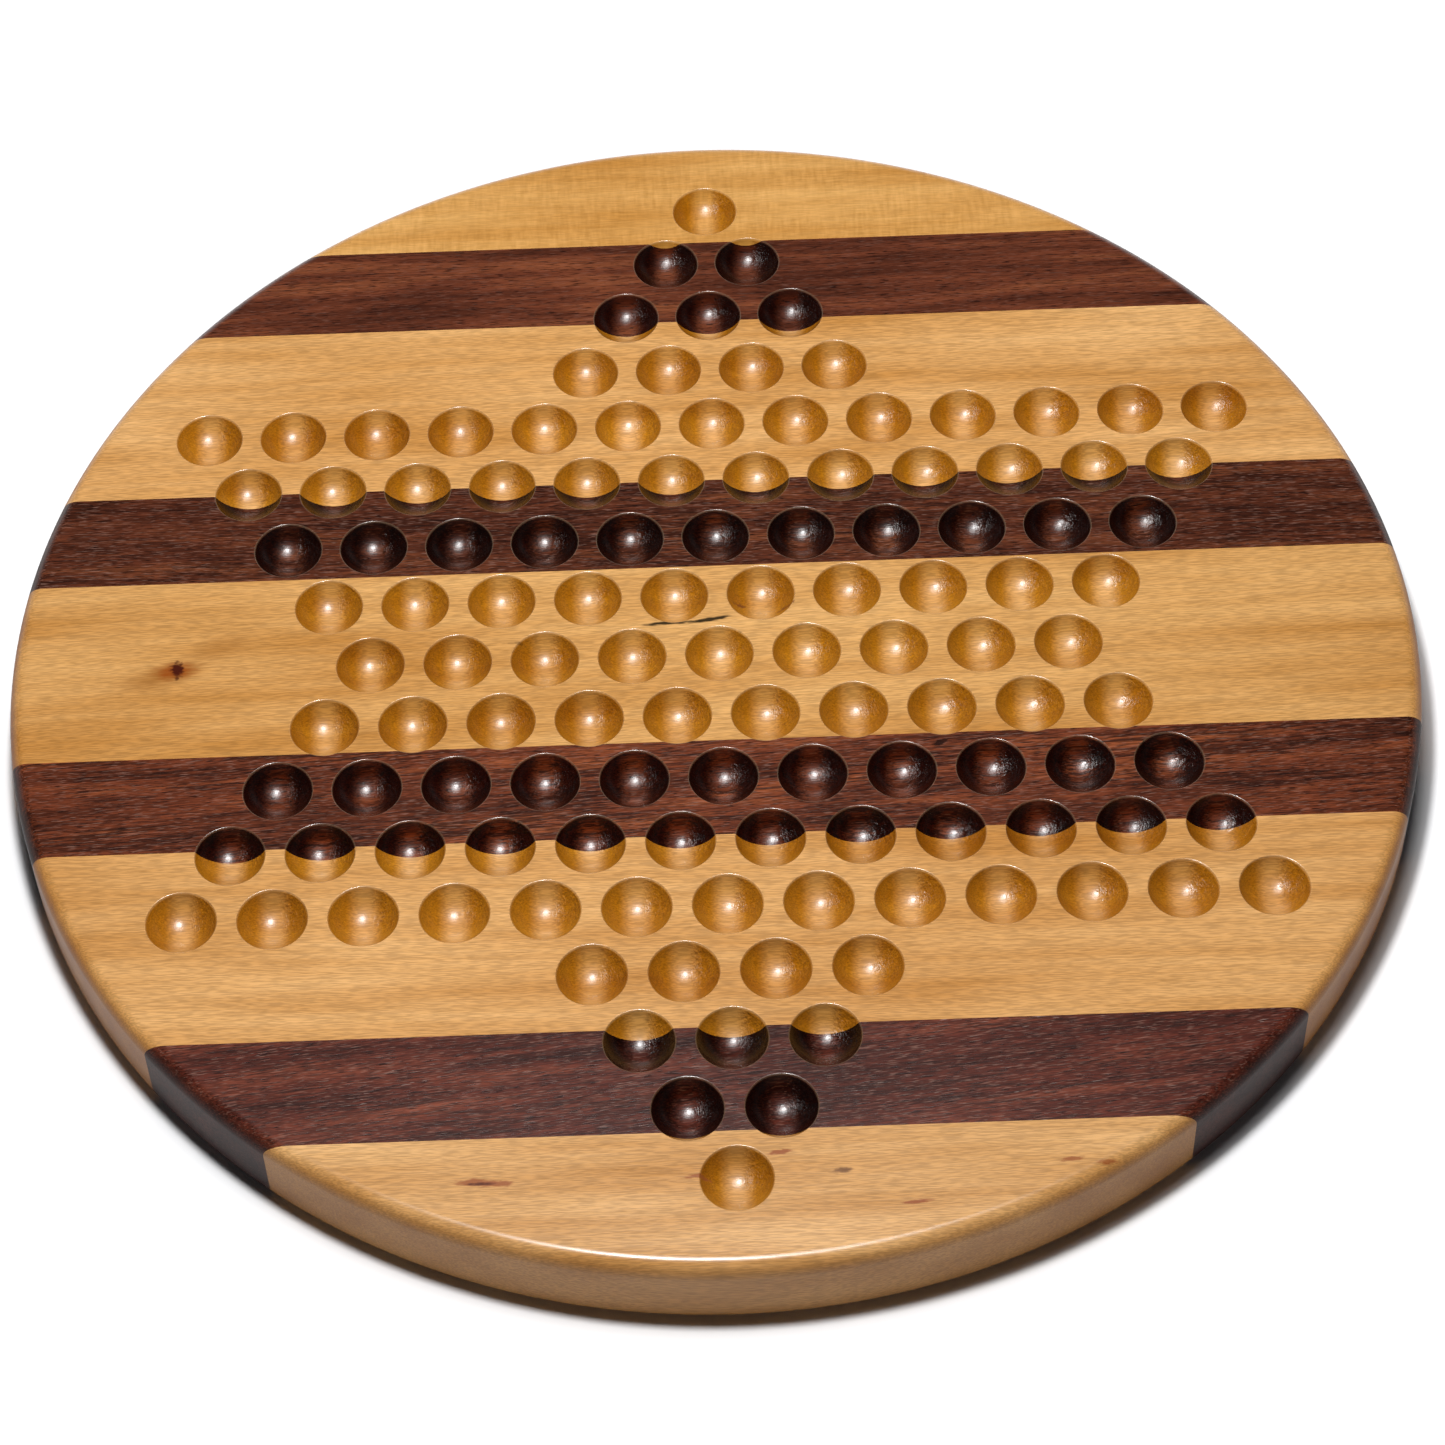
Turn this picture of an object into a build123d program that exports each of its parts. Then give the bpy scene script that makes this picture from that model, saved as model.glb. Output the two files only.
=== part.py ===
from build123d import *
import os
from math import sqrt

# Chinese checkers board: nine strips of maple and walnut, edge-glued into one round board.
# Frame: the underside lies on z = 0 with the board's centre at the origin.
# The strips run along X, and +Y points to the back of the board.

# Driving dimensions, in millimetres
board_diameter = 410.0
board_thickness = 25.4
top_round = 4.8  # roundover along the top rim
bottom_round = 3.2  # smaller roundover along the bottom rim
maple_width = 64.0
walnut_width = 33.0
hole_pitch = 25.4  # distance between neighbouring dimples
bit_diameter = 22.2  # round-nosed bit that cuts the dimples
dimple_depth = 6.35
dimple_ease = 0.4  # sanded radius around the mouth of each dimple
pattern_shift_x = 1.6  # the star sits slightly to the right of the board's centre
pattern_shift_y = -0.7  # and slightly to the front
dimples_in_row = (1, 2, 3, 4, 13, 12, 11, 10, 9, 10, 11, 12, 13, 4, 3, 2, 1)  # back to front

# The glue lines stand symmetrically about the middle of the board
inner_seam = maple_width / 2
second_seam = inner_seam + walnut_width
third_seam = second_seam + maple_width
outer_seam = third_seam + walnut_width
board_edge = board_diameter / 2

# Each strip: name, the Y of its front face, the Y of its back face
strips = (
    ("maple_cap_back", outer_seam, board_edge),
    ("walnut_strip_back_outer", third_seam, outer_seam),
    ("maple_strip_back", second_seam, third_seam),
    ("walnut_strip_back_inner", inner_seam, second_seam),
    ("maple_strip_centre", -inner_seam, inner_seam),
    ("walnut_strip_front_inner", -second_seam, -inner_seam),
    ("maple_strip_front", -third_seam, -second_seam),
    ("walnut_strip_front_outer", -outer_seam, -third_seam),
    ("maple_cap_front", -board_edge, -outer_seam),
)

# A dimple is a cap of a sphere, as deep as the bit goes below the top face
bit_radius = bit_diameter / 2
bit_height = board_thickness - dimple_depth + bit_radius
row_spacing = hole_pitch * sqrt(3) / 2
middle_row = len(dimples_in_row) // 2


def bit_places():
    """Centres of the bit over the 121 dimples of the six-pointed star, row by row."""
    places = []
    for row, count in enumerate(dimples_in_row):
        y = pattern_shift_y + (middle_row - row) * row_spacing
        for column in range(count):
            x = pattern_shift_x + (column - (count - 1) / 2) * hole_pitch
            places.append((x, y, bit_height))
    return places


# The whole board as it is after gluing, turning and drilling. The strips are cut from it.
with BuildPart() as whole_board:
    with BuildSketch() as outline:
        Circle(board_diameter / 2)
    extrude(amount=board_thickness)
    fillet(whole_board.edges().filter_by(GeomType.CIRCLE).sort_by(Axis.Z)[-1], radius=top_round)
    fillet(whole_board.edges().filter_by(GeomType.CIRCLE).sort_by(Axis.Z)[0], radius=bottom_round)
    with Locations(*bit_places()):
        Sphere(bit_radius, mode=Mode.SUBTRACT)
    mouths = whole_board.edges().filter_by(GeomType.CIRCLE).filter_by_position(
        Axis.Z, board_thickness, board_thickness
    )
    fillet(mouths.filter_by(lambda edge: edge.radius < bit_diameter), radius=dimple_ease)

os.makedirs("parts", exist_ok=True)

for strip_name, front_face, back_face in strips:
    with BuildPart() as strip:
        add(whole_board.part)
        with BuildSketch() as lane:
            with Locations((0, (front_face + back_face) / 2)):
                Rectangle(board_diameter, back_face - front_face)
        extrude(amount=board_thickness, mode=Mode.INTERSECT)
    strip.part.label = strip_name
    export_step(strip.part, f"parts/{strip_name}.step")
    print(strip_name, "volume", round(strip.part.volume / 1000, 1), "cm3")
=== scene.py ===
import math

import bmesh
import bpy
import numpy as np
from mathutils import Matrix, Vector
from mathutils.geometry import delaunay_2d_cdt


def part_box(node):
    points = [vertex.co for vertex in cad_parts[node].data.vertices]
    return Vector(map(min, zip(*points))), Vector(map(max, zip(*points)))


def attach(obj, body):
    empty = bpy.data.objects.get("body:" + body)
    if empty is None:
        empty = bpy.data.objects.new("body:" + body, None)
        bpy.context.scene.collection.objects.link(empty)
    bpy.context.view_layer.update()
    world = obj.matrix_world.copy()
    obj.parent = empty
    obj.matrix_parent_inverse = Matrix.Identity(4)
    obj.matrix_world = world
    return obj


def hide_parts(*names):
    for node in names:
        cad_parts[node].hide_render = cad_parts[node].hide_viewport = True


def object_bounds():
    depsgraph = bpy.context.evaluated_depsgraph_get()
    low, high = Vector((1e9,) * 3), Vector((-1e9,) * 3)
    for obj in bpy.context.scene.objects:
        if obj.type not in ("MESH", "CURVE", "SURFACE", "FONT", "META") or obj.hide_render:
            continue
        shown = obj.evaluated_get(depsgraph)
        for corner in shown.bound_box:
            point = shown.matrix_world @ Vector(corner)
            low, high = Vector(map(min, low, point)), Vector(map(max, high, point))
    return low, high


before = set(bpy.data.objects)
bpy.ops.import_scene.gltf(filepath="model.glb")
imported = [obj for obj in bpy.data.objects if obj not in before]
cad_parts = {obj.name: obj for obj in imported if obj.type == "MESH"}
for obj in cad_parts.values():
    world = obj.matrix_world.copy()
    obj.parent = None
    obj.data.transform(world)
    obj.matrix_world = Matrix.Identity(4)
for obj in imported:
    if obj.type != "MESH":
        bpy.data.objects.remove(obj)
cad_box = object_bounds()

# ---------------------------------------------------------------- sizes, in metres
MM = 0.001
TOP_EDGE = 4.8 * MM  # roundover on the top rim
BOTTOM_EDGE = 3.2 * MM  # roundover on the bottom rim
PITCH = 25.4 * MM  # distance between neighbouring dimples
BIT_RADIUS = 11.1 * MM  # round-nosed bit that cut the dimples
DIMPLE_DEPTH = 6.35 * MM
EASE = 0.4 * MM  # sanded radius around a dimple's mouth
STAR_CENTRE = (1.6 * MM, -0.7 * MM)
DIMPLES_IN_ROW = (1, 2, 3, 4, 13, 12, 11, 10, 9, 10, 11, 12, 13, 4, 3, 2, 1)

BOARD_RADIUS = (cad_box[1].x - cad_box[0].x) / 2
TOP = cad_box[1].z
BOTTOM = cad_box[0].z

# Mesh density
EDGE_SEGMENTS = 384
DIMPLE_SEGMENTS = 72
DIMPLE_RINGS = 12
EASE_RINGS = 3
ROUND_RINGS = 10

MERGE = 1e-7  # points nearer than this are one point
ON_GLUE_LINE = 1e-6
NOT_ZERO = 1e-9  # keeps a division safe where a length can be nil
CORNERS_AT_ONCE = 20000  # the nearest dimple is looked up for this many corners at a time

# Regions of the surface, kept on the faces so that each gets its exact normals
FLAT_TOP, DIMPLE, MOUTH, TOP_ROUND, WALL, BOTTOM_ROUND, UNDERSIDE, GLUE_FACE = range(8)


# ---------------------------------------------------------------- the board's surface
def dimple_places():
    """Centres of the 121 dimples on the top face, row by row from the back."""
    middle = len(DIMPLES_IN_ROW) // 2
    places = []
    for row, count in enumerate(DIMPLES_IN_ROW):
        y = STAR_CENTRE[1] + (middle - row) * PITCH * math.sqrt(3) / 2
        for column in range(count):
            places.append((STAR_CENTRE[0] + (column - (count - 1) / 2) * PITCH, y))
    return np.array(places)


PLACES = dimple_places()
SPHERE_RISE = BIT_RADIUS - DIMPLE_DEPTH  # the bit's centre stands this far above the top
MOUTH_RADIUS = math.sqrt((BIT_RADIUS + EASE) ** 2 - (SPHERE_RISE + EASE) ** 2)
MOUTH_ANGLE = math.asin(MOUTH_RADIUS / (BIT_RADIUS + EASE))


def dimple_profile():
    """(radius, height, region) of each ring of a dimple, from the flat top down to its floor."""
    rings = []
    for i in range(EASE_RINGS):
        a = MOUTH_ANGLE * i / EASE_RINGS
        rings.append((MOUTH_RADIUS - EASE * math.sin(a), TOP - EASE + EASE * math.cos(a), MOUTH))
    for i in range(DIMPLE_RINGS):
        a = MOUTH_ANGLE * (1 - i / DIMPLE_RINGS)
        height = TOP + SPHERE_RISE - BIT_RADIUS * math.cos(a)
        rings.append((BIT_RADIUS * math.sin(a), height, DIMPLE))
    return rings


def rim_profile():
    """(radius, height, region) of each ring of the board's edge, from the flat top to the underside."""
    rings = []
    for i in range(ROUND_RINGS):
        a = math.pi / 2 * i / ROUND_RINGS
        radius = BOARD_RADIUS - TOP_EDGE * (1 - math.sin(a))
        rings.append((radius, TOP - TOP_EDGE * (1 - math.cos(a)), TOP_ROUND))
    rings.append((BOARD_RADIUS, TOP - TOP_EDGE, WALL))
    for i in range(ROUND_RINGS):
        a = math.pi / 2 * i / ROUND_RINGS
        radius = BOARD_RADIUS - BOTTOM_EDGE * (1 - math.cos(a))
        rings.append((radius, BOTTOM + BOTTOM_EDGE * (1 - math.sin(a)), BOTTOM_ROUND))
    rings.append((BOARD_RADIUS - BOTTOM_EDGE, BOTTOM, UNDERSIDE))
    return rings


def circle(centre, radius, height, count):
    """Points of a level circle, in order."""
    a = np.arange(count) * (2 * math.pi / count)
    x = centre[0] + radius * np.cos(a)
    y = centre[1] + radius * np.sin(a)
    return np.column_stack([x, y, np.full(count, height)])


def board_surface():
    """The whole board before it is parted into strips: vertices, faces and each face's region."""
    points, faces, regions = [], [], []
    used = 0

    def add_ring(ring):
        nonlocal used
        points.append(ring)
        used += len(ring)
        return used - len(ring)

    def join(first, second, count, region):
        for k in range(count):
            n = (k + 1) % count
            faces.append((first + k, second + k, second + n, first + n))
            regions.append(region)

    rim = rim_profile()
    starts = [add_ring(circle((0, 0), r, z, EDGE_SEGMENTS)) for r, z, _ in rim]
    for (_, _, region), a, b in zip(rim, starts, starts[1:]):
        join(a, b, EDGE_SEGMENTS, region)
    faces.append(tuple(starts[-1] + k for k in reversed(range(EDGE_SEGMENTS))))
    regions.append(UNDERSIDE)

    outline = [(starts[0], EDGE_SEGMENTS)]
    dimple = dimple_profile()
    for place in PLACES:
        starts = [add_ring(circle(place, r, z, DIMPLE_SEGMENTS)) for r, z, _ in dimple]
        for (_, _, region), a, b in zip(dimple, starts, starts[1:]):
            join(a, b, DIMPLE_SEGMENTS, region)
        floor = add_ring(np.array([[place[0], place[1], TOP - DIMPLE_DEPTH]]))
        for k in range(DIMPLE_SEGMENTS):
            faces.append((starts[-1] + k, floor, starts[-1] + (k + 1) % DIMPLE_SEGMENTS))
            regions.append(DIMPLE)
        outline.append((starts[0], DIMPLE_SEGMENTS))

    # The flat top is triangulated between the rim and the mouths of the dimples
    points = np.concatenate(points)
    index = np.concatenate([np.arange(s, s + n) for s, n in outline])
    edges, begin = [], 0
    for _, n in outline:
        edges += [(begin + k, begin + (k + 1) % n) for k in range(n)]
        begin += n
    flat = [Vector(p[:2]) for p in points[index]]
    made, _, triangles, origin, _, _ = delaunay_2d_cdt(flat, edges, [], 1, MERGE)
    back = [index[o[0]] for o in origin]
    for t in triangles:
        c = sum((np.array(made[v]) for v in t), np.zeros(2)) / len(t)
        if np.min(np.hypot(*(PLACES - c).T)) > MOUTH_RADIUS * 0.999:  # not across a dimple's mouth
            faces.append(tuple(back[v] for v in t))
            regions.append(FLAT_TOP)
    return points, faces, np.array(regions)


def exact_normals(mesh, regions):
    """Sets each corner's normal from the true surface it lies on."""
    corners = len(mesh.loops)
    vertex = np.empty(corners, np.int32)
    mesh.loops.foreach_get("vertex_index", vertex)
    co = np.empty(len(mesh.vertices) * 3, np.float32)
    mesh.vertices.foreach_get("co", co)
    p = co.reshape(-1, 3)[vertex].astype(float)
    sizes = np.empty(len(mesh.polygons), np.int32)
    mesh.polygons.foreach_get("loop_total", sizes)
    faces = np.empty(len(mesh.polygons) * 3, np.float32)
    mesh.polygons.foreach_get("normal", faces)
    normal = np.repeat(faces.reshape(-1, 3), sizes, axis=0).astype(float)
    region = np.repeat(regions, sizes)

    middle = np.repeat(np.array([f.center[:2] for f in mesh.polygons]), sizes, axis=0)
    near = np.empty((corners, 2))
    for k in range(0, corners, CORNERS_AT_ONCE):
        some = slice(k, k + CORNERS_AT_ONCE)
        d = middle[some, None, :] - PLACES[None]
        near[some] = PLACES[np.argmin((d ** 2).sum(2), axis=1)]
    radial = p[:, :2] / np.maximum(np.hypot(p[:, 0], p[:, 1]), NOT_ZERO)[:, None]
    out = p[:, :2] - near
    out /= np.maximum(np.hypot(out[:, 0], out[:, 1]), NOT_ZERO)[:, None]
    flat = np.zeros(corners)

    def put(which, xy, z):
        v = np.column_stack([xy, z])[which]
        normal[which] = v / np.linalg.norm(v, axis=1)[:, None]

    put(region == FLAT_TOP, np.zeros((corners, 2)), flat + 1)
    put(region == UNDERSIDE, np.zeros((corners, 2)), flat - 1)
    put(region == DIMPLE, near - p[:, :2], TOP + SPHERE_RISE - p[:, 2])
    put(region == MOUTH, p[:, :2] - near - out * MOUTH_RADIUS, p[:, 2] - TOP + EASE)
    put(region == WALL, radial, flat)
    bend = p[:, :2] - radial * (BOARD_RADIUS - TOP_EDGE)
    put(region == TOP_ROUND, bend, p[:, 2] - TOP + TOP_EDGE)
    bend = p[:, :2] - radial * (BOARD_RADIUS - BOTTOM_EDGE)
    put(region == BOTTOM_ROUND, bend, p[:, 2] - BOTTOM - BOTTOM_EDGE)
    mesh.normals_split_custom_set(normal.tolist())


def part_strip(name, surface):
    """Cuts one strip out of the board's surface between its two glue lines and closes it."""
    points, faces, regions = surface
    low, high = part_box(name)
    reach = [(points[list(f), 1].min(), points[list(f), 1].max()) for f in faces]
    keep = [i for i, (a, b) in enumerate(reach) if b > low.y and a < high.y]
    used = sorted({v for i in keep for v in faces[i]})
    number = {v: k for k, v in enumerate(used)}
    mesh = bpy.data.meshes.new(name + "_wood")
    mesh.from_pydata(points[used].tolist(), [], [[number[v] for v in faces[i]] for i in keep])

    bm = bmesh.new()
    bm.from_mesh(mesh)
    bm.faces.ensure_lookup_table()
    layer = bm.faces.layers.int.new("region")
    for face, i in zip(bm.faces, keep):
        face[layer] = int(regions[i])
    for y, side in ((low.y, -1), (high.y, 1)):
        if abs(y) > BOARD_RADIUS - TOP_EDGE:
            continue  # a cap ends at the rim, not at a glue line
        everything = bm.verts[:] + bm.edges[:] + bm.faces[:]
        bmesh.ops.bisect_plane(
            bm, geom=everything, dist=MERGE, plane_co=(0, y, 0), plane_no=(0, side, 0), clear_outer=True
        )
        cut = [e for e in bm.edges if e.is_boundary]
        open_edges = [e for e in cut if all(abs(v.co.y - y) < ON_GLUE_LINE for v in e.verts)]
        for face in bmesh.ops.holes_fill(bm, edges=open_edges, sides=0)["faces"]:
            face[layer] = GLUE_FACE
    large = [f for f in bm.faces if len(f.verts) > 4]
    bmesh.ops.triangulate(bm, faces=large, ngon_method="EAR_CLIP")
    bmesh.ops.recalc_face_normals(bm, faces=bm.faces[:])
    bm.to_mesh(mesh)
    kinds = np.array([f[layer] for f in bm.faces])
    bm.free()
    mesh.polygons.foreach_set("use_smooth", np.ones(len(mesh.polygons), bool))
    exact_normals(mesh, kinds)
    piece = bpy.data.objects.new(name + "_wood", mesh)
    bpy.context.scene.collection.objects.link(piece)
    return piece


# ---------------------------------------------------------------- materials
SEED_STEPS = (7.13, 3.71, 5.39)  # how far one seed moves a noise along x, y and z

# Heights above the floor and reach from the axis, in millimetres, that place a finish on the board
RIM_START = 197.0  # no dimple reaches further out
DIMPLE_WALL = (25.3, 24.6)  # a wall's own look fades in below the mouth
DIMPLE_BOTTOM = (16.0, 18.0)  # nothing below these heights is in a dimple
EASED_MOUTH = (24.90, 25.10)  # the eased mouth of a dimple is above these heights
FLECK_ENDS = (6.0, 14.0)  # a fleck fades out inside the strip

# The lacquer on the flat top
COAT = 0.5
COAT_ROUGHNESS = 0.24
COAT_RELIEF = 0.55  # share of the wood's relief that still shows in it
LACQUER_IOR = 1.5


class Tree:
    """Short calls for building a material's nodes. A value is a number, a tuple or a socket."""

    def __init__(self, material):
        material.use_nodes = True
        self.nodes = material.node_tree.nodes
        self.links = material.node_tree.links
        self.nodes.clear()

    def feed(self, socket, value):
        """Links a socket to an input, or sets the input's own value."""
        if isinstance(value, bpy.types.NodeSocket):
            self.links.new(value, socket)
        else:
            socket.default_value = value

    def math(self, operation, *values):
        node = self.nodes.new("ShaderNodeMath")
        node.operation = operation
        for socket, value in zip(node.inputs, values):
            self.feed(socket, value)
        return node.outputs[0]

    def add(self, a, b):
        return self.math("ADD", a, b)

    def multiply(self, a, b):
        return self.math("MULTIPLY", a, b)

    def vector(self, operation, *values):
        node = self.nodes.new("ShaderNodeVectorMath")
        node.operation = operation
        for socket, value in zip(node.inputs, values):
            self.feed(socket, value)
        return node.outputs[0]

    def split(self, vector):
        node = self.nodes.new("ShaderNodeSeparateXYZ")
        self.feed(node.inputs[0], vector)
        return node.outputs[0], node.outputs[1], node.outputs[2]

    def join(self, x, y, z):
        node = self.nodes.new("ShaderNodeCombineXYZ")
        for socket, value in zip(node.inputs, (x, y, z)):
            self.feed(socket, value)
        return node.outputs[0]

    def remap(self, value, low, high, to_low=0.0, to_high=1.0):
        """A smooth step from to_low, at low, to to_high, at high."""
        node = self.nodes.new("ShaderNodeMapRange")
        node.interpolation_type = "SMOOTHSTEP"
        for socket, v in zip(node.inputs, (value, low, high, to_low, to_high)):
            self.feed(socket, v)
        return node.outputs[0]

    def noise(self, vector, size, seed, detail=2.0, roughness=0.5):
        """Noise whose lumps are about size (x, y, z) millimetres, from 0 to 1."""
        node = self.nodes.new("ShaderNodeTexNoise")
        scale = tuple(1 / s for s in size)
        shift = tuple(seed * step for step in SEED_STEPS)
        self.feed(node.inputs["Vector"], self.vector("MULTIPLY_ADD", vector, scale, shift))
        node.inputs["Scale"].default_value = 1.0
        node.inputs["Detail"].default_value = detail
        node.inputs["Roughness"].default_value = roughness
        return node.outputs[0]

    def mix(self, factor, a, b, mode="MIX"):
        node = self.nodes.new("ShaderNodeMix")
        node.data_type = "RGBA"
        node.blend_type = mode
        for socket, value in zip((node.inputs[0], node.inputs[6], node.inputs[7]), (factor, a, b)):
            self.feed(socket, value)
        return node.outputs[2]

    def ramp(self, value, stops):
        node = self.nodes.new("ShaderNodeValToRGB")
        elements = node.color_ramp.elements
        while len(elements) < len(stops):
            elements.new(0.5)
        for element, (place, colour) in zip(elements, stops):
            element.position = place
            element.color = colour
        self.feed(node.inputs[0], value)
        return node.outputs[0]


def srgb(r, g, b):
    """A colour given as 0 to 255 on a screen, as the linear colour that a shader takes."""
    def linear(v):
        v /= 255
        return v / 12.92 if v <= 0.04045 else ((v + 0.055) / 1.055) ** 2.4
    return linear(r), linear(g), linear(b), 1.0


def times(colour, factor):
    """A lighter or darker version of a colour."""
    return tuple(c * factor for c in colour[:3]) + (1.0,)


class Wood(Tree):
    """What both woods share: millimetre coordinates along the grain, and how the surface turns."""

    def __init__(self, name, seed, slope, wave):
        self.material = bpy.data.materials.new(name)
        super().__init__(self.material)
        self.seed = seed
        place = self.nodes.new("ShaderNodeTexCoord").outputs["Object"]
        self.place = self.vector("MULTIPLY", place, (1 / MM,) * 3)
        self.x, self.y, self.z = self.split(self.place)
        facing = self.nodes.new("ShaderNodeNewGeometry").outputs["Normal"]
        self.nx, self.ny, self.nz = self.split(facing)

        # The grain climbs a little across the strip and wanders from side to side
        drift = self.noise(self.place, (140, 60, 60), seed + 11, detail=1.0)
        wander = self.multiply(self.add(drift, -0.5), wave)
        lean = self.multiply(self.x, -slope)
        self.grain = self.join(self.x, self.add(self.add(self.y, lean), wander), self.add(self.z, wander))

        # Inside the dimples, away from the board's rim
        from_axis = self.math("SQRT", self.add(self.multiply(self.x, self.x), self.multiply(self.y, self.y)))
        inboard = self.math("LESS_THAN", from_axis, RIM_START)
        sunken = self.multiply(self.remap(self.z, *DIMPLE_WALL), self.remap(self.z, *DIMPLE_BOTTOM))
        self.in_dimple = self.multiply(inboard, sunken)
        # Painted shade on the dimples' sloping walls; the wall nearest the front, which faces back toward the
        # bright sky and the soft lamp, gets less of it
        steep = self.multiply(self.in_dimple, self.remap(self.nz, 0.98, 0.72))
        wall_shade = self.remap(self.ny, 0.10, 0.55, 1.0, 0.20)
        self.shade_on_slope = self.multiply(steep, wall_shade)
        # End grain shows on the board's left and right sides and on the dimples' left and right walls
        sideways = self.math("ABSOLUTE", self.nx)
        cut_across = self.multiply(self.remap(sideways, 0.05, 0.50), self.in_dimple)
        self.end_grain = self.math("MAXIMUM", self.multiply(self.nx, self.nx), cut_across)
        upright = self.remap(self.math("ABSOLUTE", self.nz), 0.97, 0.55)
        self.on_rim = self.multiply(self.math("GREATER_THAN", from_axis, RIM_START), upright)
        self.near_top = self.remap(self.z, *FLECK_ENDS)
        rolling = self.multiply(self.remap(self.nz, 0.999, 0.96), self.remap(self.z, *EASED_MOUTH))
        self.at_mouth = self.multiply(inboard, rolling)
        # The bit tears the grain where it climbs out of the cut, on the wall to the right
        climb = self.multiply(self.remap(self.nx, -0.06, -0.34), self.remap(self.ny, 0.45, 0.05))
        blotch = self.remap(self.noise(self.place, (2.2, 2.2, 2.2), seed + 12), 0.30, 0.55)
        self.torn = self.multiply(self.multiply(self.in_dimple, climb), blotch)
        tear = self.noise(self.place, (0.42, 1.5, 0.6), seed + 13, detail=3.0, roughness=0.6)
        pebble = self.noise(self.place, (0.6, 0.6, 0.6), seed + 14, detail=2.0)
        ripple = self.multiply(self.multiply(pebble, self.in_dimple), 0.035)
        self.tool_marks = self.add(self.multiply(self.multiply(tear, self.torn), 0.34), ripple)

    def amber_shade(self, shade):
        """Darker fibres are also yellower: blue falls more, and red less, than green."""
        return self.join(*(self.add(self.multiply(shade, k), 1.0) for k in (0.85, 1.0, 1.5)))

    def paint_shade_and_worn_edge(self, colour, sunk, rim):
        """Painted shade darkens the dimples' sloping walls and the board's side below the flat top; the eased
        mouths are painted paler, partly wear and partly a painted highlight.
        """
        # painted shade on the dimples' sloping walls
        colour = self.mix(self.shade_on_slope, colour, self.mix(1.0, colour, sunk, "MULTIPLY"))
        # a pale mouth: partly wear, partly a painted highlight of the lamp on the eased edge
        colour = self.mix(self.multiply(self.at_mouth, 0.09), colour, WORN_EDGE_AND_HIGHLIGHT)
        # painted shade on the board's side
        return self.mix(self.on_rim, colour, self.mix(1.0, colour, rim, "MULTIPLY"))

    def fleck(self, x, y, length, width, turn=0.0, bow=0.0, soft=0.5, ragged=0.35):
        """A mark in the wood, 0 to 1: an oval with its centre at x, y, turned by degrees and bowed."""
        c, s = math.cos(math.radians(turn)), math.sin(math.radians(turn))
        dx, dy = self.add(self.x, -x), self.add(self.y, -y)
        u = self.multiply(self.add(self.multiply(dx, c), self.multiply(dy, s)), 2 / length)
        v = self.add(self.multiply(dy, c), self.multiply(dx, -s))
        uu = self.multiply(u, u)
        v = self.multiply(self.add(v, self.multiply(uu, bow)), 2 / width)
        rough = self.noise(self.place, (length / 6 + 0.5, 0.8, 0.8), self.seed + x * 0.1, detail=3.0)
        oval = self.math("SQRT", self.add(uu, self.multiply(v, v)))
        r = self.add(oval, self.multiply(self.add(rough, -0.5), ragged * 4))
        return self.multiply(self.remap(r, 1.0, 1.0 - soft), self.near_top)

    def relief(self, height, strength):
        """A bump from heights in millimetres."""
        bump = self.nodes.new("ShaderNodeBump")
        bump.inputs["Strength"].default_value = strength
        bump.inputs["Distance"].default_value = MM
        self.feed(bump.inputs["Height"], height)
        return bump.outputs[0]

    def finish(self, colour, height, roughness, specular, coat_in_dimple, coat_on_side):
        """The lacquer: thinner and duller on the board's side, polished where a dimple's mouth is eased."""
        shader = self.nodes.new("ShaderNodeBsdfPrincipled")
        self.feed(shader.inputs["Base Color"], colour)
        self.feed(shader.inputs["Roughness"], self.add(roughness, self.multiply(self.on_rim, 0.25)))
        self.feed(shader.inputs["Normal"], self.relief(height, 1.0))
        self.feed(shader.inputs["Coat Normal"], self.relief(height, COAT_RELIEF))
        shader.inputs["IOR"].default_value = LACQUER_IOR
        shader.inputs["Specular IOR Level"].default_value = specular
        less_on_side = self.multiply(self.on_rim, COAT - coat_on_side)
        less_in_dimple = self.multiply(self.in_dimple, COAT - coat_in_dimple)
        more = self.add(self.multiply(self.at_mouth, 0.5), COAT)
        weight = self.math("SUBTRACT", more, self.add(less_on_side, less_in_dimple))
        self.feed(shader.inputs["Coat Weight"], weight)
        dull = self.add(self.multiply(self.on_rim, 0.20), self.multiply(self.at_mouth, -0.05))
        self.feed(shader.inputs["Coat Roughness"], self.add(dull, COAT_ROUGHNESS))
        shader.inputs["Coat IOR"].default_value = LACQUER_IOR
        output = self.nodes.new("ShaderNodeOutputMaterial")
        self.links.new(shader.outputs[0], output.inputs["Surface"])
        return self.material


# Colours of the woods. END, and the painted shade for the dimples' walls and for the board's side, multiply
# the colour of the flat top.
MAPLE_PALE = srgb(207, 161, 99)
MAPLE_DEEP = srgb(178, 126, 62)
# Pale mouth of a dimple: partly wear, partly a painted highlight of the lamp on the eased edge
WORN_EDGE_AND_HIGHLIGHT = srgb(206, 176, 138)
MAPLE_END = (0.71, 0.52, 0.06, 1.0)
# Painted shade for the dimples' sloping walls
MAPLE_SUNK_SHADE = (0.86, 0.80, 0.56, 1.0)
# Painted shade for the board's side
MAPLE_RIM_SHADE = (0.68, 0.60, 0.47, 1.0)
WALNUT_DARK = srgb(44, 18, 11)
WALNUT_MID = srgb(88, 43, 27)
WALNUT_LIGHT = srgb(128, 71, 43)
WALNUT_END = (0.16, 0.08, 0.07, 1.0)
# Painted shade for the dimples' sloping walls
WALNUT_SUNK_SHADE = (0.50, 0.32, 0.20, 1.0)
# Painted shade for the board's side
WALNUT_RIM_SHADE = (0.60, 0.52, 0.44, 1.0)


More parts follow.
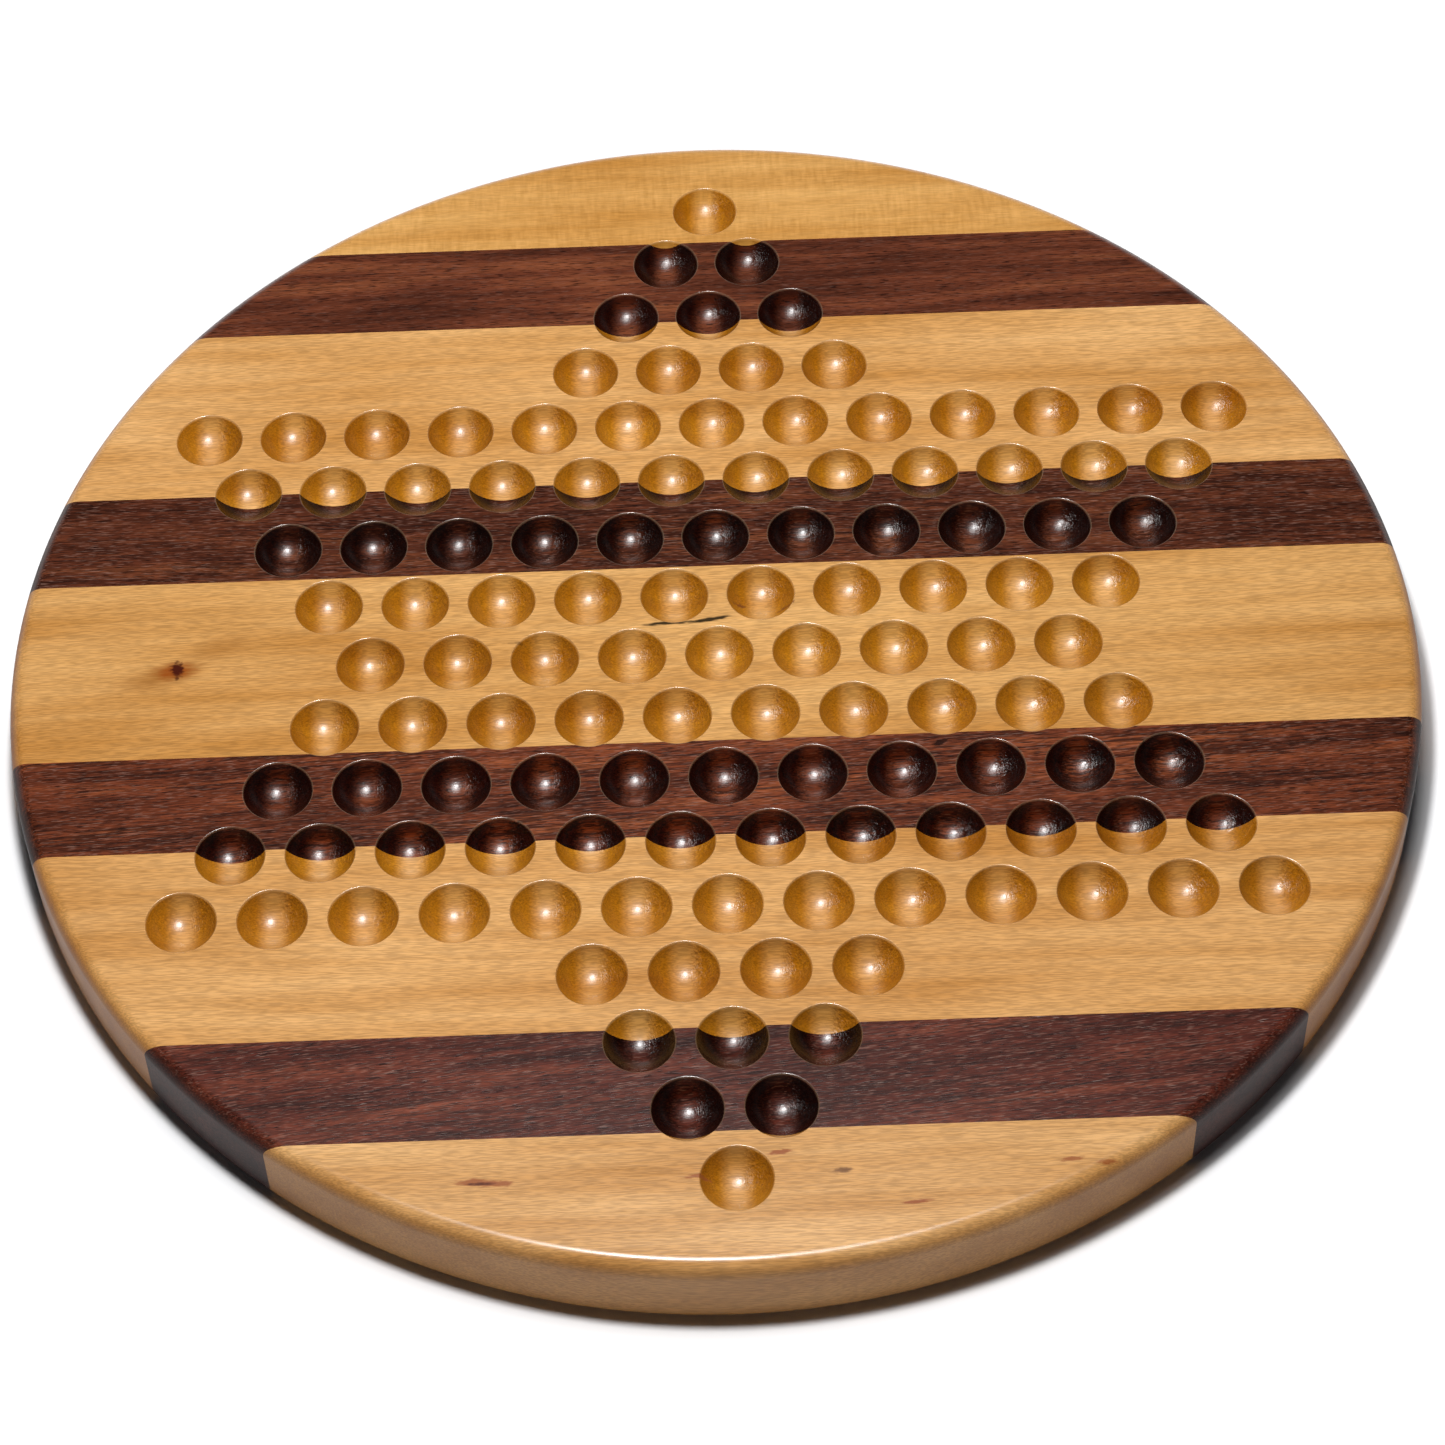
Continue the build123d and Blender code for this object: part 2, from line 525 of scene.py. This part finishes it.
def maple(name, seed, slope=0.0, curl=0.0, fine=1.0, tint=(1, 1, 1), marks=()):
    """Pale, close-grained and lacquered. Curl adds ripples across the grain, fine the short dashes."""
    w = Wood(name, seed, slope, wave=3.0)
    bands = w.noise(w.grain, (80, 7, 9), seed, detail=2.0, roughness=0.45)
    broad = w.noise(w.grain, (170, 34, 34), seed + 1, detail=1.0)
    tone = w.add(w.multiply(bands, 0.52), w.multiply(broad, 0.48))
    colour = w.ramp(tone, ((0.34, MAPLE_DEEP), (0.66, MAPLE_PALE)))
    colour = w.mix(1.0, colour, tint + (1,), "MULTIPLY")

    # Fibres: long faint lines, short fine dashes, and a few darker ones
    line = w.noise(w.grain, (26, 0.9, 0.9), seed + 2, detail=2.0, roughness=0.6)
    dash = w.remap(w.noise(w.grain, (4.2, 0.34, 0.34), seed + 3, detail=1.0), 0.34, 0.66)
    dark = w.remap(w.noise(w.grain, (5.0, 0.40, 0.40), seed + 4, detail=1.0), 0.62, 0.74)
    shade = w.add(w.add(w.multiply(w.add(line, -0.5), 0.26), w.multiply(dark, -0.14)), 0.01)
    if curl:
        ripple = w.noise(w.place, (1.2, 7, 7), seed + 5, detail=2.0)
        patchy = w.remap(w.noise(w.place, (30, 14, 14), seed + 6), 0.30, 0.60, 0.3, 1.0)
        shade = w.add(shade, w.multiply(w.multiply(w.add(ripple, -0.5), patchy), curl))
    colour = w.mix(1.0, colour, w.amber_shade(shade), "MULTIPLY")
    colour = w.mix(1.0, colour, w.add(w.multiply(w.add(dash, -0.5), 0.34 * fine), 1.0), "MULTIPLY")

    # End grain drinks more finish, so it is darker and more orange, with pin-prick dots
    dots = w.remap(w.noise(w.place, (3, 0.5, 0.5), seed + 7), 0.35, 0.7, 0.88, 1.08)
    deep = w.mix(1.0, colour, MAPLE_END, "MULTIPLY")
    deep = w.mix(1.0, deep, dots, "MULTIPLY")
    colour = w.mix(w.end_grain, colour, deep)
    specks = w.remap(w.noise(w.place, (1.2, 0.5, 0.5), seed + 8), 0.56, 0.70)
    colour = w.mix(w.multiply(w.multiply(w.torn, specks), 0.55), colour, srgb(110, 60, 20))
    colour = w.paint_shade_and_worn_edge(colour, MAPLE_SUNK_SHADE, MAPLE_RIM_SHADE)

    for paint, strength, measures in marks:
        colour = w.mix(w.multiply(w.fleck(*measures), strength), colour, paint)

    roughness = w.add(w.add(w.multiply(line, 0.14), 0.20), w.multiply(w.in_dimple, 0.10))
    height = w.add(w.multiply(w.add(w.multiply(dash, 0.4), w.multiply(line, 0.8)), 0.012), w.tool_marks)
    return w.finish(colour, height, roughness, specular=0.15, coat_in_dimple=0.5, coat_on_side=0.30)


def walnut(name, seed, slope=0.0, streaks=1.0, fine=1.0, tint=(1, 1, 1), painted_glints=0.0, marks=()):
    """Dark and open-grained: wavy dark lines, long brown bands and short pores, with pale greyish dashes of
    painted sheen and, with glints, pale dashes of painted glint.
    """
    w = Wood(name, seed, slope, wave=5.0)
    bands = w.noise(w.grain, (70, 5, 7), seed, detail=3.0, roughness=0.6)
    broad = w.noise(w.grain, (120, 22, 22), seed + 1, detail=1.0)
    tone = w.add(w.multiply(bands, 0.65), w.multiply(broad, 0.35))
    colour = w.ramp(tone, ((0.30, WALNUT_DARK), (0.52, WALNUT_MID), (0.75, WALNUT_LIGHT)))
    colour = w.mix(1.0, colour, tint + (1,), "MULTIPLY")

    # Wavy dark lines, thick in some patches and fine in others, over short dashes and pores
    line = w.noise(w.grain, (20, 0.8, 0.8), seed + 2, detail=3.0, roughness=0.6)
    patch = w.noise(w.grain, (60, 10, 10), seed + 10, detail=1.0)
    streak = w.remap(w.add(line, w.multiply(w.add(patch, -0.5), 0.35)), 0.50, 0.62)
    colour = w.mix(w.multiply(streak, 0.75 * streaks), colour, times(WALNUT_DARK, 0.6))
    dash = w.remap(w.noise(w.grain, (4.6, 0.34, 0.34), seed + 3, detail=1.0), 0.36, 0.64)
    shade = w.add(w.multiply(w.add(dash, -0.5), 0.60 * fine), 1.0)
    colour = w.mix(1.0, colour, shade, "MULTIPLY")
    pore = w.remap(w.noise(w.grain, (4.0, 0.34, 0.34), seed + 4, detail=1.0), 0.57, 0.68)
    colour = w.mix(w.multiply(pore, 0.80), colour, times(WALNUT_DARK, 0.35))
    # Painted sheen: pale greyish dashes painted where fibres catch the light
    painted_sheen = w.remap(w.noise(w.grain, (3.4, 0.32, 0.32), seed + 16, detail=1.0), 0.56, 0.72)
    colour = w.mix(w.multiply(painted_sheen, 0.34 * fine), colour, srgb(152, 116, 102))
    # Painted glints: pale dashes painted where pore edges catch the lamp
    if painted_glints:
        painted_glint_mask = w.remap(w.noise(w.grain, (3.6, 0.26, 0.26), seed + 5, detail=0.0), 0.76, 0.82)
        painted_glint_mask = w.multiply(painted_glint_mask, w.remap(w.noise(w.grain, (40, 9, 9), seed + 15), 0.54, 0.68))
        colour = w.mix(w.multiply(painted_glint_mask, painted_glints), colour, srgb(190, 170, 160))

    # End grain: orange-brown specks on nearly black wood
    dots = w.remap(w.noise(w.place, (2.5, 0.42, 0.42), seed + 6), 0.52, 0.68)
    deep = w.mix(1.0, colour, WALNUT_END, "MULTIPLY")
    deep = w.mix(w.multiply(dots, w.add(w.multiply(w.in_dimple, -0.4), 0.55)), deep, srgb(100, 54, 26))
    colour = w.mix(w.end_grain, colour, deep)
    colour = w.paint_shade_and_worn_edge(colour, WALNUT_SUNK_SHADE, WALNUT_RIM_SHADE)

    for paint, strength, measures in marks:
        colour = w.mix(w.multiply(w.fleck(*measures), strength), colour, paint)

    roughness = w.add(w.add(w.multiply(line, 0.16), 0.18), w.multiply(w.in_dimple, 0.02))
    height = w.add(w.multiply(dash, 0.005), w.multiply(pore, -0.008))
    height = w.add(height, w.tool_marks)
    return w.finish(colour, height, roughness, specular=0.12, coat_in_dimple=0.48, coat_on_side=0.12)


RED_BROWN = srgb(140, 76, 38)
MINERAL = srgb(40, 30, 14)
KNOT = srgb(62, 16, 6)
RUST = srgb(140, 68, 18)
AMBER = srgb(142, 88, 30)
FLECK = srgb(104, 52, 22)

# Marks in the wood: colour, strength, and a fleck's x, y, length, width, turn, bow, softness and raggedness
CENTRE_MARKS = (
    (AMBER, 0.45, (-145, 7.0, 30, 13, 22, 0, 1.0, 0.1)),
    (AMBER, 0.60, (-164, -4.0, 28, 10, 8, 0, 1.0, 0.1)),
    (AMBER, 0.90, (-157.0, -0.8, 25, 10, 4, 0, 1.0, 0.1)),
    (RUST, 0.95, (-156.8, -0.4, 17, 8.5, 6, 0, 0.9, 0.2)),
    (KNOT, 0.97, (-156.3, 0.2, 5.0, 7.4, 10, 0, 0.6, 0.3)),
    (KNOT, 0.80, (-156.2, -3.2, 2.0, 2.0, 0, 0, 0.7, 0.2)),
    (MINERAL, 0.97, (-12.5, 11.2, 19, 2.1, 2, 0.3, 0.6, 0.3)),
    (MINERAL, 0.97, (-0.5, 12.0, 17, 1.9, 9, -0.4, 0.6, 0.3)),
    (MINERAL, 0.45, (-57.9, 5.7, 9, 1.2, 2, 0, 0.9, 0.4)),
    (FLECK, 0.85, (21.5, 17.5, 6, 2.2, 4, 0, 0.7, 0.5)),
    (FLECK, 0.85, (8.0, 20.0, 5, 2.0, 4, 0, 0.7, 0.5)),
)
FRONT_CAP_MARKS = (
    (RED_BROWN, 0.90, (-68.0, -175.5, 14, 3.2, -2, 0, 0.6, 0.3)),
    (RED_BROWN, 0.90, (-62.6, -175.9, 12, 2.6, -1, 0, 0.6, 0.3)),
    (KNOT, 0.80, (-66.4, -175.9, 10, 1.3, -2, 0, 0.7, 0.4)),
    (RED_BROWN, 0.95, (13.2, -169.2, 9, 2.0, 6, 0, 0.6, 0.3)),
    (RED_BROWN, 0.90, (-9.0, -175.6, 9, 1.8, 4, 0, 0.6, 0.3)),
    (KNOT, 0.70, (29.7, -175.4, 7, 2.4, 6, 0, 0.7, 0.3)),
    (RED_BROWN, 0.95, (49.1, -185.7, 10, 1.8, 5, 0, 0.6, 0.3)),
    (RED_BROWN, 0.85, (90.8, -174.3, 8, 1.8, 6, 0, 0.6, 0.3)),
    (RED_BROWN, 0.85, (100.3, -175.3, 7, 1.8, 6, 0, 0.6, 0.3)),
)
INNER_MARKS = ((times(WALNUT_DARK, 0.3), 0.9, (63.7, -35.5, 6, 2.2, 20)),)

# Each CAD node and the wood that its strip is made of, from the back of the board to the front
MATERIALS = {
    "maple_cap_back": lambda: maple(
        "maple_back_cap", 3.1, slope=0.01, curl=0.55, fine=0.5, tint=(1.09, 1.05, 0.96)
    ),
    "walnut_strip_back_outer": lambda: walnut(
        "walnut_back_outer", 14.7, slope=0.02, streaks=0.5, fine=0.45, tint=(1.30, 1.36, 1.36)
    ),
    "maple_strip_back": lambda: maple("maple_back", 21.3, slope=0.015, tint=(1.07, 1.05, 1.16)),
    "walnut_strip_back_inner": lambda: walnut(
        "walnut_back_inner", 32.9, streaks=0.9, tint=(0.84, 0.86, 0.84)
    ),
    "maple_strip_centre": lambda: maple(
        "maple_centre", 45.2, slope=0.03, tint=(0.96, 0.92, 0.925), marks=CENTRE_MARKS
    ),
    "walnut_strip_front_inner": lambda: walnut(
        "walnut_front_inner", 51.8, slope=0.05, tint=(1.28, 1.20, 1.04), marks=INNER_MARKS
    ),
    "maple_strip_front": lambda: maple("maple_front", 66.6, slope=-0.01, tint=(0.97, 0.93, 0.99)),
    # Its purplish tint partly stands for the lacquer's reflection, painted into the colour
    "walnut_strip_front_outer": lambda: walnut(
        "walnut_front_outer", 73.4, slope=0.10, streaks=0.8, tint=(0.82, 0.70, 0.90), painted_glints=0.45
    ),
    "maple_cap_front": lambda: maple("maple_front_cap", 88.5, tint=(0.97, 0.96, 1.09), marks=FRONT_CAP_MARKS),
}

# ---------------------------------------------------------------- the strips
surface = board_surface()
for strip, make in MATERIALS.items():
    piece = part_strip(strip, surface)
    piece.data.materials.append(make())
    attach(piece, "root")
    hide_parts(strip)
    strip.split("_")[0]


# ---------------------------------------------------------------- floor, light and camera
FLOOR_SIDE = 12.0
FLOOR_DROP = 0.1 * MM  # keeps the floor just clear of the underside, so that no two faces share a plane
GLOW_STARTS, GLOW_FULL = 0.225, 0.42  # the floor brightens to white between these distances from the axis
GLOW = 0.60


def flat_square(name, side):
    half = side / 2
    corners = [(-half, -half, 0), (half, -half, 0), (half, half, 0), (-half, half, 0)]
    mesh = bpy.data.meshes.new(name)
    mesh.from_pydata(corners, [], [(0, 1, 2, 3)])
    square = bpy.data.objects.new(name, mesh)
    bpy.context.scene.collection.objects.link(square)
    return square


floor = flat_square("floor", FLOOR_SIDE)
white_paper = bpy.data.materials.new("white_paper")
paper = Tree(white_paper)
floor.data.materials.append(white_paper)
px, py, _ = paper.split(paper.nodes.new("ShaderNodeTexCoord").outputs["Object"])
away = paper.math("SQRT", paper.add(paper.multiply(px, px), paper.multiply(py, py)))
sheet = paper.nodes.new("ShaderNodeBsdfPrincipled")
sheet.inputs["Base Color"].default_value = (0.95, 0.95, 0.96, 1)
sheet.inputs["Roughness"].default_value = 0.9
sheet.inputs["Specular IOR Level"].default_value = 0.0
sheet.inputs["Emission Color"].default_value = (1, 1, 1, 1)
paper.feed(sheet.inputs["Emission Strength"], paper.remap(away, GLOW_STARTS, GLOW_FULL, 0.0, GLOW))
paper.links.new(sheet.outputs[0], paper.nodes.new("ShaderNodeOutputMaterial").inputs["Surface"])
floor.location.z = -FLOOR_DROP

# A small lamp makes the highlights; a wider one over the board softens them and the shadow's edge.
# Each has a name, a place, a width in metres and a power in watts.
LAMPS = (
    ("lamp", Vector((-0.060, -0.080, 0.88)), 0.11, 6.1),
    ("soft_lamp", Vector((0.0, 0.06, 1.10)), 0.40, 5.7),
)
for name, place, width, power in LAMPS:
    lamp_data = bpy.data.lights.new(name, "AREA")
    lamp_data.shape = "DISK"
    lamp_data.size = width
    lamp_data.energy = power
    lamp = bpy.data.objects.new(name, lamp_data)
    lamp.location = place
    lamp.rotation_euler = place.to_track_quat("Z", "Y").to_euler()
    bpy.context.scene.collection.objects.link(lamp)

# The sky is brightest low down behind the board, and nearly dark overhead so that the lacquer stays clear
world = bpy.data.worlds.new("studio")
bpy.context.scene.world = world
sky = Tree(world)
_, north, up = sky.split(sky.nodes.new("ShaderNodeTexCoord").outputs["Generated"])
behind = sky.remap(north, 0.10, 0.75, 0.12, 0.9)
overhead = sky.remap(up, 0.20, 0.50, 1.0, 0.02)
backdrop = sky.nodes.new("ShaderNodeBackground")
sky.feed(backdrop.inputs["Strength"], sky.multiply(behind, overhead))
sky.links.new(backdrop.outputs[0], sky.nodes.new("ShaderNodeOutputWorld").inputs["Surface"])

CAMERA_AIM = Vector((1.8 * MM, -25.8 * MM, TOP))
CAMERA_DISTANCE = 1.2074
CAMERA_ELEVATION = math.radians(53.41)
CAMERA_ROLL = math.radians(-2.0)
CAMERA_SIDESTEP = 0.0005  # to the right, for each metre from the aim
CAMERA_LENS = 104.7
CAMERA_SENSOR = 36.0
camera_data = bpy.data.cameras.new("camera")
camera_data.lens = CAMERA_LENS
camera_data.sensor_width = CAMERA_SENSOR
camera = bpy.data.objects.new("camera", camera_data)
toward = Vector((CAMERA_SIDESTEP, -math.cos(CAMERA_ELEVATION), math.sin(CAMERA_ELEVATION)))
turn = toward.to_track_quat("Z", "Y").to_matrix().to_4x4() @ Matrix.Rotation(CAMERA_ROLL, 4, "Z")
camera.matrix_world = Matrix.Translation(CAMERA_AIM + toward * CAMERA_DISTANCE) @ turn
bpy.context.scene.collection.objects.link(camera)
bpy.context.scene.camera = camera
bpy.context.scene.view_settings.view_transform = "Standard"
